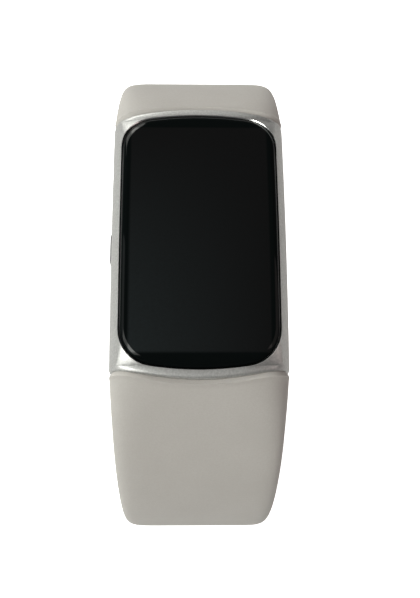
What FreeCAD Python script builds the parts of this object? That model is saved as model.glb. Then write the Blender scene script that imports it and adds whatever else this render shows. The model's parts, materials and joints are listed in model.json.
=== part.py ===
import FreeCAD, Part
import math
import os

# Fitness tracker band: a small pebble-shaped tracker with a curved cover glass, held on the wrist by
# two soft straps that close with a two-peg clasp.
# X runs across the band, +Y along the case towards the strap with the holes, +Z out of the display.
# The origin is the centre of the flat sensor face that rests on the wrist. All sizes are millimetres.

V = FreeCAD.Vector

# ---------------------------------------------------------------- driving dimensions
case_width = 22.8
case_length = 37.4
case_height = 11.2
end_sag = 1.5            # how far the rounded case ends stand out from their corners
case_corner = 0.7        # plan radius of the case corners
arch_radius = 88.0       # long curve of the display side, seen from the side
rim_drop = 0.25          # the metal rim lies this much under the glass
case_bottom = 1.02       # lower edge of the metal case
cavity_half_width = 9.7
cavity_half_length = 14.9

glass_width = 20.0
glass_length = 34.8
glass_end_sag = 1.25
glass_corner = 4.4
glass_thickness = 1.1
glass_edge_round = 0.7
slip = 0.1               # assembly gap between parts that are dropped in

electrode_z = 5.3        # height of the side panels' centre line
electrode_height = 3.0
electrode_length = 23.5
electrode_depth = 0.9    # pocket depth in the case wall
electrode_recess = 0.2   # the steel face lies this much inside the case side
electrode_thickness = 0.45
contact_radius = 0.35    # pins that carry the panels' signal inwards
contact_y = 8.0

button_y = -0.4
button_length = 5.0
button_height = 1.9
button_proud = 0.3
button_travel = 0.35
button_thickness = 0.75
stem_radius = 0.45
stem_end = -9.25         # inner end of the button's stem
seal_groove = -10.1      # start of the ring groove round the stem

screw_x = 7.9
screw_y = 12.9
charger_y = -10.2
charger_spacing = 3.6
vent_y = 10.6

strap_root_width = 22.8
hole_strap_width = 18.6  # widths reached at the end of the taper
clasp_strap_width = 20.4
strap_taper_length = 40.0
strap_root_thickness = 5.3
strap_thickness = 2.4
strap_thin_length = 14.0
seam_z = 8.45            # strap surface height at the case end
seam_gap = 0.12
hinge_distance = 9.0     # from the case end to the strap's bending line
hinge_gap = 0.06

hole_loop_half_width = 33.0     # half axes and centre of the straps' elliptical paths
hole_loop_centre_z = -18.0
clasp_loop_half_width = 29.1
overlap_gap = 0.5        # between the closed straps, at the bottom of the loop
tail_reach = 7.0         # how far each strap end passes the middle of the loop
clasp_rest_angle = 6.0   # the clasp strap rests this far open, in degrees

hole_radius = 1.55
hole_spacing = 5.5
hole_count = 8
first_hole_reach = 3.0
peg_radius = 1.3
peg_length = 2.2
clasp_plate_thickness = 0.6
clasp_plate_half_width = 6.5
clasp_plate_near = 13.2  # the plate's ends, measured back from the strap's tip
clasp_plate_far = 2.6
clasp_plate_sink = 0.3   # how deep the plate lies in the silicone
clasp_corner = 2.2

tongue_half_width = 7.0
pocket_floor = 3.0
pocket_top = 6.0
pocket_end = 16.0
latch_travel = 0.55
latch_y0 = 18.9
latch_y1 = 20.9
latch_half = 2.6
latch_proud = 0.2        # the button stands this far out of the strap's inner surface
latch_top = 3.5
core_top = 5.1
core_end = 21.3
core_half_width = 7.4
tongue_top = 5.85
spring_top = 4.95

half_case = case_length / 2.0
glass_underside = case_height - glass_thickness
button_outer = -case_width / 2 - button_proud
button_inner = button_outer + button_thickness
button_floor = button_inner + button_travel + 0.05
core_floor = latch_top + latch_travel + 0.05
tongue_end = half_case + 0.9
latch_y = (latch_y0 + latch_y1) / 2
parts = {}


# ---------------------------------------------------------------- small shape helpers
def block(x0, x1, y0, y1, z0, z1):
    return Part.makeBox(x1 - x0, y1 - y0, z1 - z0, V(x0, y0, z0))


def centred_block(half_x, half_y, z0, z1, x=0.0, y=0.0):
    return block(x - half_x, x + half_x, y - half_y, y + half_y, z0, z1)


def upright(radius, z0, z1, x=0.0, y=0.0):
    return Part.makeCylinder(radius, z1 - z0, V(x, y, z0))


def upright_edges(shape):
    found = []
    for edge in shape.Edges:
        ends = [v.Point for v in edge.Vertexes]
        if len(ends) == 2 and (ends[0] - ends[1]).Length > 1e-6:
            run = (ends[1] - ends[0]).normalize()
            if abs(run.z) > 0.999:
                found.append(edge)
    return found


def rounded_plate(half_x, half_y, radius, z0, z1, x=0.0, y=0.0):
    plate = centred_block(half_x, half_y, z0, z1, x, y)
    return plate.makeFillet(radius, upright_edges(plate))


def bowed_plate(half_x, half_y, sag, radius, z0, z1):
    """A plate with straight sides and arched ends."""
    corner = half_y - sag
    edges = [
        Part.makeLine(V(half_x, -corner, z0), V(half_x, corner, z0)),
        Part.Arc(V(half_x, corner, z0), V(0, half_y, z0), V(-half_x, corner, z0)).toShape(),
        Part.makeLine(V(-half_x, corner, z0), V(-half_x, -corner, z0)),
        Part.Arc(V(-half_x, -corner, z0), V(0, -half_y, z0), V(half_x, -corner, z0)).toShape(),
    ]
    plate = Part.Face(Part.Wire(edges)).extrude(V(0, 0, z1 - z0))
    return plate.makeFillet(radius, upright_edges(plate))


def ring(outer, inner):
    return outer.cut(inner)


def under_arch(apex):
    """Everything below the long display curve whose highest point is apex."""
    return Part.makeCylinder(arch_radius, 80.0, V(-40.0, 0, apex - arch_radius), V(1, 0, 0))


def group(solids):
    return Part.makeCompound(solids)


def flipped(shape):
    """The same shape at the other end of the case."""
    return shape.mirror(V(0, 0, 0), V(0, 1, 0))


# ---------------------------------------------------------------- case
def case_section():
    """Cross-section of the metal case, swept along its length."""
    low = V(9.5, 0, case_bottom)
    widest_low = V(case_width / 2, 0, 5.0)
    widest_high = V(case_width / 2, 0, 6.0)
    rim = V(10.25, 0, 10.25)

    def left(p):
        return V(-p.x, 0, p.z)

    belly = V(10.75, 0, 2.6)
    shoulder = V(11.15, 0, 8.35)
    edges = [
        Part.makeLine(left(low), low),
        Part.Arc(low, belly, widest_low).toShape(),
        Part.makeLine(widest_low, widest_high),
        Part.Arc(widest_high, shoulder, rim).toShape(),
        Part.makeLine(rim, left(rim)),
        Part.Arc(left(rim), left(shoulder), left(widest_high)).toShape(),
        Part.makeLine(left(widest_high), left(widest_low)),
        Part.Arc(left(widest_low), left(belly), left(low)).toShape(),
    ]
    face = Part.Face(Part.Wire(edges))
    face.translate(V(0, -half_case - 1, 0))
    return face.extrude(V(0, case_length + 2, 0))


def case_pebble():
    body = bowed_plate(case_width / 2, half_case, end_sag, case_corner, case_bottom, case_height)
    return body.common(case_section()).common(under_arch(case_height - rim_drop))


def strap_socket():
    """Pocket for the strap's tongue in one case end, with the notch its latch drops into."""
    pocket = block(-tongue_half_width - 0.05, tongue_half_width + 0.05,
                   pocket_end, half_case + 1, pocket_floor, pocket_top)
    notch = block(-2.35, 2.35, 16.4, 17.4, pocket_floor - 0.6, pocket_floor + 0.1)
    return pocket.fuse(notch)


def electrode_pocket(side, margin=0.0):
    half = electrode_height / 2 + margin
    face = case_width / 2
    pocket = block(face - electrode_depth - margin, face + 1,
                   -electrode_length / 2 - margin, electrode_length / 2 + margin,
                   electrode_z - half, electrode_z + half)
    if side > 0:
        return pocket
    return pocket.mirror(V(0, 0, 0), V(1, 0, 0))


def button_stadium(grow, x0, x1):
    """Pill-shaped bar along X, as wide as the button grown by the given gap."""
    radius = button_height / 2 + grow
    half = button_length / 2 - button_height / 2
    ends = [Part.makeCylinder(radius, x1 - x0, V(x0, button_y + dy, electrode_z), V(1, 0, 0))
            for dy in (-half, half)]
    middle = block(x0, x1, button_y - half, button_y + half, electrode_z - radius, electrode_z + radius)
    return middle.fuse(ends[0]).fuse(ends[1]).removeSplitter()


def contact_places():
    return [(side, y) for side in (-1, 1) for y in (-contact_y, contact_y)]


def contact_bore(side, y, radius, x0, x1):
    """Round bar across the case wall at one of the side panels' contacts."""
    return Part.makeCylinder(radius, x1 - x0, V(side * x0, y, electrode_z), V(side, 0, 0))


def screw_places():
    return [(sx * screw_x, sy * screw_y) for sx in (-1, 1) for sy in (-1, 1)]


def make_case_shell():
    shell = case_pebble()
    cavity = rounded_plate(cavity_half_width, cavity_half_length, 2.6, case_bottom - 1, 8.6)
    shell = shell.cut(cavity)
    window = bowed_plate(9.0, cavity_half_length + 0.6, 1.6, 3.2, 8.0, case_height + 1)
    shell = shell.cut(window)
    seat = bowed_plate(glass_width / 2 + slip, glass_length / 2 + slip, glass_end_sag,
                       glass_corner, 6.0, case_height + 1)
    seat = seat.cut(under_arch(glass_underside - 0.15))
    shell = shell.cut(seat)
    for socket in (strap_socket(), flipped(strap_socket())):
        shell = shell.cut(socket)
    for side in (-1, 1):
        shell = shell.cut(electrode_pocket(side))
    for side, y in contact_places():
        shell = shell.cut(contact_bore(side, y, contact_radius + 0.15, 9.0, 12.0))
    for x, y in screw_places():
        post = upright(1.1, 2.4, 5.75, x, y).cut(upright(0.45, 2.9, 6.0, x, y))
        web = block(min(x, math.copysign(cavity_half_width + 0.2, x)),
                    max(x, math.copysign(cavity_half_width + 0.2, x)),
                    y - 0.5, y + 0.5, 2.4, 5.75).cut(upright(1.05, 2.0, 6.0, x, y))
        shell = shell.fuse(post).fuse(web)
    shell = shell.cut(button_stadium(0.05, button_outer, button_floor))
    shell = shell.cut(Part.makeCylinder(stem_radius + 0.05, 3.0, V(-12.0, button_y, electrode_z), V(1, 0, 0)))
    shell = shell.cut(Part.makeCylinder(1.0, 1.0, V(seal_groove, button_y, electrode_z), V(1, 0, 0)))
    parts["case_shell"] = shell


def make_cover_glass():
    plate = bowed_plate(glass_width / 2, glass_length / 2, glass_end_sag, glass_corner, 6.0, case_height + 1)
    plate = plate.common(under_arch(case_height))
    rim = [e for e in plate.Edges if e.BoundBox.ZMin > 8.5]
    plate = plate.makeFillet(glass_edge_round, rim)
    parts["cover_glass"] = plate.cut(under_arch(glass_underside))


def make_glass_seal():
    outer = bowed_plate(9.85, 17.2, 1.2, 4.2, 6.0, case_height)
    inner = bowed_plate(9.15, 16.2, 1.1, 3.6, 6.0, case_height)
    band = ring(outer, inner).common(under_arch(glass_underside - 0.02))
    parts["glass_seal"] = band.cut(under_arch(glass_underside - 0.13))


def make_display():
    panel = rounded_plate(8.3, 12.2, 1.2, 8.3, 9.1)
    parts["display_panel"] = panel
    gel = rounded_plate(8.1, 12.0, 1.1, 9.12, case_height)
    parts["display_adhesive"] = gel.common(under_arch(glass_underside - 0.02))
    tail = block(-3.0, 3.0, -13.6, -12.25, 8.5, 8.65)
    drop = block(-3.0, 3.0, -13.75, -13.6, 7.3, 8.65)
    foot = block(-3.0, 3.0, -13.6, -12.2, 7.3, 7.45)
    parts["display_flex"] = tail.fuse(drop).fuse(foot)
    outer = rounded_plate(8.85, 13.9, 2.8, 8.75, 8.95)
    inner = rounded_plate(8.45, 12.9, 2.2, 8.7, 9.0)
    parts["nfc_antenna"] = ring(outer, inner).cut(centred_block(3.2, 1.2, 8.0, 9.5, 0, -13.4))


def make_side_electrodes():
    for side, name in ((-1, "left"), (1, "right")):
        bed = electrode_pocket(side, -0.02)
        inner_face = case_width / 2 - electrode_recess - electrode_thickness
        outer_face = case_width / 2 - electrode_recess
        half = electrode_height / 2 - 0.27
        long_half = electrode_length / 2 - 0.27
        x0, x1 = sorted((side * inner_face, side * outer_face))
        plate = block(x0, x1, -long_half, long_half, electrode_z - half, electrode_z + half)
        along_x = [e for e in plate.Edges if e.BoundBox.XLength > 0.1]
        plate = plate.makeFillet(0.5, along_x)
        x2, x3 = sorted((side * inner_face, side * (case_width / 2 + 2)))
        hollow = block(x2, x3, -long_half - 0.02, long_half + 0.02,
                       electrode_z - half - 0.02, electrode_z + half + 0.02)
        x4, x5 = sorted((side * (outer_face + 0.05), side * (case_width / 2 + 2)))
        trim = block(x4, x5, -20, 20, 0, 12)
        liner = bed.cut(hollow).cut(trim)
        for y in (-contact_y, contact_y):
            liner = liner.cut(contact_bore(side, y, contact_radius + 0.05, 9.0, 12.0))
        if side < 0:
            plate = plate.cut(button_stadium(0.12, -13.0, -8.0))
            liner = liner.cut(button_stadium(0.08, -13.0, -8.0))
        parts["electrode_insulator_" + name] = liner
        parts["side_electrode_" + name] = plate
    contacts = []
    for side, y in contact_places():
        back_of_panel = case_width / 2 - electrode_recess - electrode_thickness
        pin = contact_bore(side, y, contact_radius, 9.0, back_of_panel - 0.02)
        pad = centred_block(0.25, 0.9, 4.7, 5.7, side * 9.2, y)
        contacts.append(pin.fuse(pad))
    parts["electrode_contacts"] = group(contacts)


def make_side_button():
    cap = button_stadium(0.0, button_outer, button_inner)
    rim = [e for e in cap.Edges if e.BoundBox.XMax < button_outer + 0.01]
    cap = cap.makeFillet(0.22, rim)
    stem = Part.makeCylinder(stem_radius, stem_end - button_inner + 0.1,
                             V(button_inner - 0.1, button_y, electrode_z), V(1, 0, 0))
    parts["side_button_cap"] = cap.fuse(stem)
    gasket = Part.makeTorus(stem_radius + 0.24, 0.17, V(seal_groove + 0.2, button_y, electrode_z), V(1, 0, 0))
    parts["side_button_gasket"] = gasket
    switch_face = stem_end + button_travel + 0.05
    parts["side_button_switch"] = block(switch_face, switch_face + 0.9, button_y - 1.7, button_y + 1.7,
                                        4.5, 5.7)


# ---------------------------------------------------------------- electronics stack
def make_battery():
    cell = centred_block(7.6, 9.9, 2.6, 5.35, 0.2, 0.6)
    parts["battery"] = cell.makeFillet(0.9, [e for e in cell.Edges if e.BoundBox.YLength > 15])
    parts["battery_pad"] = centred_block(6.0, 8.5, 5.37, 5.75, 0.2, 0.6)
    riser = block(3.0, 6.0, 10.65, 10.8, 3.4, 6.4)
    sole = block(3.0, 6.0, 10.8, 11.9, 6.25, 6.4)
    parts["battery_flex"] = riser.fuse(sole)


def make_mid_frame():
    frame = rounded_plate(9.2, 14.5, 2.4, 5.8, 6.55)
    frame = frame.cut(rounded_plate(6.4, 7.5, 1.0, 5.0, 7.0))
    frame = frame.cut(block(2.6, 6.4, 10.3, 12.3, 5.0, 7.0))
    frame = frame.cut(block(-6.4, -2.4, 10.3, 13.0, 5.0, 7.0))
    for x, y in screw_places():
        frame = frame.cut(upright(0.55, 5.0, 7.0, x, y))
    parts["mid_frame"] = frame


def make_main_board():
    board = rounded_plate(9.0, 14.3, 2.3, 6.6, 7.2)
    for x, y in screw_places():
        board = board.cut(upright(0.55, 6.0, 8.0, x, y))
    parts["main_board"] = board
    chip_places = [(3.2, 3.0, 0.65, -3.4, 4.6), (2.2, 2.2, 0.6, 3.6, 5.6), (1.6, 2.4, 0.55, 3.8, -0.6),
                   (2.6, 1.8, 0.6, -3.6, -2.2), (1.2, 1.2, 0.5, 0.4, -5.2)]
    chips = [centred_block(hx, hy, 7.22, 7.22 + tall, x, y) for hx, hy, tall, x, y in chip_places]
    parts["board_chips"] = group(chips)
    can = rounded_plate(7.4, 9.4, 0.6, 7.22, 8.12)
    parts["board_shield"] = can.cut(rounded_plate(7.25, 9.25, 0.5, 7.0, 7.97))
    screws = []
    for x, y in screw_places():
        head = upright(0.85, 7.22, 7.7, x, y)
        slot = centred_block(0.6, 0.13, 7.5, 8.0, x, y)
        screws.append(upright(0.42, 3.3, 7.3, x, y).fuse(head).cut(slot))
    parts["frame_screws"] = group(screws)


def make_vibration_motor():
    y0, y1 = -14.2, -10.2
    z0, z1 = 2.5, 5.3
    wall = 0.25
    case = block(-5.4, 5.4, y0, y1, z0, z1)
    inside = block(-5.4 + wall, 5.4 - wall, y0 + wall, y1 - wall, z0 + wall, z1 - wall)
    parts["vibration_motor_case"] = case.cut(inside)
    middle_y = (y0 + y1) / 2
    middle_z = (z0 + z1) / 2
    pin_end = 5.13
    pin = Part.makeCylinder(0.3, 2 * pin_end, V(-pin_end, middle_y, middle_z), V(1, 0, 0))
    parts["vibration_motor_pin"] = pin
    weight = block(-3.4, 3.4, y0 + 0.5, y1 - 0.5, z0 + 0.5, z1 - 0.5)
    bore = Part.makeCylinder(0.35, 20, V(-10, middle_y, middle_z), V(1, 0, 0))
    parts["vibration_motor_weight"] = weight.cut(bore)


# ---------------------------------------------------------------- sensor side
def make_back_cover():
    flange = bowed_plate(9.3, 16.6, 1.9, 2.0, 0.35, 0.88)
    bottom_edges = [e for e in flange.Edges if e.BoundBox.ZMax < 0.36]
    flange = flange.makeFillet(0.35, bottom_edges)
    wall = ring(rounded_plate(9.3, 14.55, 2.3, 0.88, 2.1), rounded_plate(8.5, 13.6, 1.7, 0.88, 2.2))
    cover = flange.fuse(wall)
    cover = cover.cut(rounded_plate(4.85, 5.85, 1.5, 0.0, 0.7))
    cover = cover.cut(rounded_plate(4.3, 5.3, 1.1, 0.0, 1.5))
    for x in charger_places():
        cover = cover.cut(upright(0.95, 0.0, 2.0, x, charger_y))
    cover = cover.cut(upright(0.35, 0.0, 2.0, 0.0, vent_y))
    parts["back_cover"] = cover
    parts["back_cover_seal"] = ring(rounded_plate(9.66, 14.86, 2.57, 1.35, 1.85),
                                    rounded_plate(9.34, 14.59, 2.32, 1.0, 2.2))


def charger_places():
    return (-charger_spacing, 0.0, charger_spacing)


def make_back_details():
    contacts = []
    for x in charger_places():
        contacts.append(upright(0.9, 0.3, 1.3, x, charger_y))
    parts["charging_contacts"] = group(contacts)
    parts["vent_mesh"] = upright(1.2, 0.9, 1.0, 0.0, vent_y)
    parts["pressure_sensor"] = centred_block(1.0, 1.0, 5.85, 6.58, -4.4, 11.6)


def make_optical_sensor():
    parts["sensor_window"] = rounded_plate(4.8, 5.8, 1.45, 0.0, 0.68)
    led_places = [(0.0, 3.3), (0.0, 0.0), (0.0, -3.3)]
    diode_places = [(-2.6, 1.7), (2.6, 1.7), (-2.6, -1.7), (2.6, -1.7)]
    baffle = rounded_plate(4.2, 5.2, 1.0, 0.72, 1.5)
    for x, y in led_places:
        baffle = baffle.cut(centred_block(0.75, 0.6, 0.5, 2.0, x, y))
    for x, y in diode_places:
        baffle = baffle.cut(centred_block(0.95, 1.2, 0.5, 2.0, x, y))
    parts["light_baffle"] = baffle
    parts["sensor_leds"] = group([centred_block(0.6, 0.45, 1.15, 1.53, x, y) for x, y in led_places])
    parts["sensor_photodiodes"] = group([centred_block(0.8, 1.05, 1.2, 1.53, x, y) for x, y in diode_places])
    parts["optical_board"] = rounded_plate(5.0, 6.2, 0.8, 1.55, 2.0)
    ribbon = block(-6.2, -3.6, 5.9, 11.05, 2.05, 2.2)
    riser = block(-6.2, -3.6, 10.9, 11.05, 2.05, 5.0)
    pad = block(-6.2, -3.6, 11.05, 12.6, 4.85, 5.0)
    parts["sensor_flex"] = ribbon.fuse(riser).fuse(pad)


# ---------------------------------------------------------------- strap shape
def seam_lift(half_width):
    """Share of an elliptical path's half height at which it passes the case end."""
    return math.sqrt(1 - (half_case / half_width) ** 2)


def strap_loop(side, half_width, centre_z, free_width):
    """Elliptical path of a strap's outer surface, which leaves the case end at the seam."""
    loop = {"side": side, "half_width": half_width, "centre_z": centre_z, "free_width": free_width}
    loop["half_height"] = (seam_z - centre_z) / seam_lift(half_width)
    loop["stations"] = path_stations(loop)
    return loop


def centre_reaching(bottom_z, half_width):
    """Centre height of the path that passes the seam and just reaches bottom_z."""
    lift = seam_lift(half_width)
    return (seam_z + bottom_z * lift) / (1 + lift)


def path_stations(loop):
    """Angle of the ellipse against distance along the outer surface, from the seam onwards."""
    start = math.acos(half_case / loop["half_width"])
    finish = -math.pi / 2 - math.asin(tail_reach / loop["half_width"])
    steps = 400
    table = [(0.0, start)]
    travelled = 0.0
    for i in range(steps):
        a = start + (finish - start) * (i + 0.5) / steps
        speed = math.hypot(loop["half_width"] * math.sin(a), loop["half_height"] * math.cos(a))
        travelled += speed * (start - finish) / steps
        table.append((travelled, start + (finish - start) * (i + 1) / steps))
    return table


def angle_at(loop, distance):
    table = loop["stations"]
    step = (table[0][1] - table[-1][1]) / (len(table) - 1)
    if distance <= 0:
        speed = table[1][0] / step
        return table[0][1] - distance / speed
    for (d0, a0), (d1, a1) in zip(table, table[1:]):
        if d1 >= distance:
            return a0 + (a1 - a0) * (distance - d0) / (d1 - d0)
    return table[-1][1]


def strap_point(loop, distance):
    """Point on the strap's outer surface and the outward direction there."""
    a = angle_at(loop, distance)
    side, wide, tall = loop["side"], loop["half_width"], loop["half_height"]
    p = V(0, side * wide * math.cos(a), loop["centre_z"] + tall * math.sin(a))
    n = V(0, side * tall * math.cos(a), wide * math.sin(a))
    return p, n.normalize()


def strap_thickness_at(distance):
    left = max(0.0, 1 - max(distance, 0.0) / strap_thin_length)
    return strap_thickness + (strap_root_thickness - strap_thickness) * left ** 2


def strap_width_at(loop, distance):
    gone = min(max(distance, 0.0) / strap_taper_length, 1.0)
    width = strap_root_width + (loop["free_width"] - strap_root_width) * gone
    tip_length = 5.0
    past = distance - (loop["stations"][-1][0] - tip_length)
    if past > 0:
        width *= math.sqrt(1 - 0.8 * (past / tip_length) ** 2)
    return width


def strap_section(loop, distance, width, low, high, crown):
    """Closed cross-section between two heights above the strap's inner surface."""
    outer, n = strap_point(loop, distance)
    inner = outer - n * strap_thickness_at(distance)
    tall = high - low
    round_out = 0.55 * tall
    round_in = 0.24 * tall

    def at(x, h):
        return inner + V(x, 0, 0) + n * (low + h)

    half = width / 2
    shoulder = tall - crown
    bend = 1 - math.sqrt(0.5)
    pts = []
    for s in (1, -1):
        pts.append([
            at(s * (half - round_in), 0),
            at(s * (half - bend * round_in), bend * round_in),
            at(s * half, round_in),
            at(s * half, shoulder - round_out),
            at(s * (half - bend * round_out), shoulder - bend * round_out),
            at(s * (half - round_out), shoulder),
        ])
    r, l = pts
    edges = [
        Part.makeLine(l[0], r[0]),
        Part.Arc(r[0], r[1], r[2]).toShape(),
        Part.makeLine(r[2], r[3]),
        Part.Arc(r[3], r[4], r[5]).toShape(),
        Part.Arc(r[5], at(0, tall), l[5]).toShape(),
        Part.Arc(l[5], l[4], l[3]).toShape(),
        Part.makeLine(l[3], l[2]),
        Part.Arc(l[2], l[1], l[0]).toShape(),
    ]
    return Part.Wire(edges)


def strap_length(loop):
    return loop["stations"][-1][0]


def strap_run(loop, start, finish, count, inset=0.0):
    """Strap solid between two distances along its path, inset from its full section on request."""
    wires = []
    for i in range(count + 1):
        d = start + (finish - start) * i / count
        thick = strap_thickness_at(d)
        wires.append(strap_section(loop, d, strap_width_at(loop, d) - 2 * inset,
                                   inset, thick - inset, 0.12 * thick))
    return Part.makeLoft(wires, True, False, False, 3)


def normal_bar(loop, distance, radius, from_outside, to_inside):
    """Round bar along the strap's normal, measured from the outer surface."""
    p, n = strap_point(loop, distance)
    return Part.makeCylinder(radius, from_outside + to_inside, p + n * from_outside, n * -1)


# ---------------------------------------------------------------- strap roots and their fittings
def to_side(shape, side):
    if side > 0:
        return shape
    return flipped(shape)


def connector():
    """Stiff core inside the strap end, with the tongue that enters the case."""
    core = block(-core_half_width, core_half_width, half_case + 0.25, core_end, core_floor, core_top)
    tongue = block(-tongue_half_width, tongue_half_width, pocket_end + 0.3, tongue_end,
                   core_floor, tongue_top)
    body = core.fuse(tongue)
    return body.cut(upright(0.95, core_floor - 1, spring_top, 0, latch_y))


def latch(loop):
    """Release button under the strap end, with the hooked arm that holds the case."""
    button = centred_block(latch_half, (latch_y1 - latch_y0) / 2, -2, latch_top, 0, latch_y)
    button = button.makeFillet(0.5, upright_edges(button))
    strap_end = strap_run(loop, -2.6, hinge_distance, 8, -latch_proud)
    button = button.common(to_side(strap_end, loop["side"]))
    arm = block(-2.2, 2.2, 16.55, latch_y0 + 0.6, pocket_floor + 0.05, latch_top)
    tooth = block(-2.2, 2.2, 16.55, 17.2, pocket_floor - 0.5, latch_top)
    return button.fuse(arm).fuse(tooth)


def latch_spring():
    """Small coil spring between the latch and the connector."""
    length = spring_top - latch_top - 0.04
    helix = Part.makeHelix(length / 4.5, length - 0.24, 0.62)
    start = Part.Wire([Part.makeCircle(0.11, V(0.62, 0, 0), V(0, 1, 0))])
    coil = Part.Wire(helix.Edges).makePipeShell([start], True, True)
    coil.translate(V(0, latch_y, latch_top + 0.14))
    return coil


def make_strap_root(loop, name):
    side = loop["side"]
    root = strap_run(loop, -2.6, hinge_distance - hinge_gap, 8)
    end_radius = ((case_width / 2) ** 2 + end_sag ** 2) / (2 * end_sag) + seam_gap
    beyond = case_width / 2 + 2
    deeper_sag = end_radius - math.sqrt(end_radius ** 2 - beyond ** 2)
    keep_out = bowed_plate(beyond, half_case + seam_gap, deeper_sag, 0.5, -5, 15)
    root = root.cut(keep_out)
    core_hollow = block(-core_half_width - 0.06, core_half_width + 0.06, half_case, core_end + 0.06,
                        core_floor - 0.05, core_top + 0.06)
    tongue_hollow = block(-tongue_half_width - 0.06, tongue_half_width + 0.06, pocket_end, tongue_end + 0.06,
                          core_floor - 0.05, tongue_top + 0.06)
    latch_hollow = block(-latch_half - 0.1, latch_half + 0.1, pocket_end, latch_y1 + 0.1, -2, core_floor)
    for hollow in (core_hollow, tongue_hollow, latch_hollow):
        root = root.cut(to_side(hollow, side))
    parts[name + "_root"] = root
    parts[name + "_connector"] = to_side(connector(), side)
    parts[name + "_latch"] = to_side(latch(loop), side)
    parts[name + "_latch_spring"] = to_side(latch_spring(), side)


def hole_distances():
    """Distances of the strap holes, from the one nearest the tip backwards."""
    length = strap_length(hole_loop)
    return [length - tail_reach + first_hole_reach - i * hole_spacing for i in range(hole_count)]


def make_hole_strap():
    strap = strap_run(hole_loop, hinge_distance + hinge_gap, strap_length(hole_loop), 14)
    for d in hole_distances():
        strap = strap.cut(normal_bar(hole_loop, d, hole_radius, 3.0, strap_thickness + 3.0))
    parts["hole_strap"] = strap


def open_clasp(shape):
    """Turn a piece of the closed clasp strap outwards about its bending line, to where it rests."""
    pivot, outward = strap_point(clasp_loop, hinge_distance)
    turned = shape.copy()
    turned.rotate(pivot, V(-1, 0, 0), clasp_rest_angle)
    return turned


def make_clasp_strap():
    length = strap_length(clasp_loop)
    strap = strap_run(clasp_loop, hinge_distance + hinge_gap, length, 14)
    pegs = hole_distances()[:2]
    outer_gap = overlap_gap + strap_thickness
    for d in pegs:
        strap = strap.cut(normal_bar(hole_loop, d, peg_radius + 0.03, 6.0, 1.0))
    plate_start = length - clasp_plate_near
    plate_end = length - clasp_plate_far
    plate_low = strap_thickness - clasp_plate_sink
    fit = 0.05
    pocket = clasp_plate_run(plate_start - fit, plate_end + fit, clasp_plate_half_width + fit,
                             plate_low - fit, strap_thickness + 2, clasp_corner + fit)
    strap = strap.cut(pocket)
    parts["clasp_strap"] = open_clasp(strap)
    plate = clasp_plate_run(plate_start, plate_end, clasp_plate_half_width, plate_low,
                            plate_low + clasp_plate_thickness, clasp_corner)
    for d in pegs:
        peg = normal_bar(hole_loop, d, peg_radius, outer_gap - 0.1, peg_length)
        tip = [e for e in peg.Edges if e.BoundBox.ZMin > peg.BoundBox.ZMax - 1.0]
        plate = plate.fuse(peg.makeChamfer(0.3, tip))
    parts["clasp_plate"] = open_clasp(plate)


def clasp_plate_run(start, finish, half, low, high, corner):
    """Curved plate that follows the clasp strap's outer surface."""
    wires = []
    count = 5
    for i in range(count + 1):
        outer, n = strap_point(clasp_loop, start + (finish - start) * i / count)
        inner = outer - n * strap_thickness
        corners = [inner + V(x, 0, 0) + n * h
                   for x, h in ((-half, low), (half, low), (half, high), (-half, high))]
        wires.append(Part.makePolygon(corners + corners[:1]))
    plate = Part.makeLoft(wires, True, False)
    upright_to_strap = [e for e in plate.Edges if abs(e.Length - (high - low)) < 0.05]
    return plate.makeFillet(corner, upright_to_strap)


def write_parts():
    os.makedirs("parts", exist_ok=True)
    for name, shape in sorted(parts.items()):
        shape.exportStep("parts/" + name + ".step")


hole_loop = strap_loop(1, hole_loop_half_width, hole_loop_centre_z, hole_strap_width)
hole_loop_bottom = hole_loop_centre_z - hole_loop["half_height"]
clasp_loop_bottom = hole_loop_bottom - strap_thickness - overlap_gap
clasp_loop_centre_z = centre_reaching(clasp_loop_bottom, clasp_loop_half_width)
clasp_loop = strap_loop(-1, clasp_loop_half_width, clasp_loop_centre_z, clasp_strap_width)

make_case_shell()
make_cover_glass()
make_glass_seal()
make_display()
make_side_electrodes()
make_side_button()
make_battery()
make_mid_frame()
make_main_board()
make_vibration_motor()
make_back_cover()
make_back_details()
make_optical_sensor()
make_strap_root(hole_loop, "hole_strap")
make_strap_root(clasp_loop, "clasp_strap")
make_hole_strap()
make_clasp_strap()
write_parts()
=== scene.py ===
import bisect
import functools
import json
import math

import bmesh
import bpy
from mathutils import Matrix, Quaternion, Vector


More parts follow.
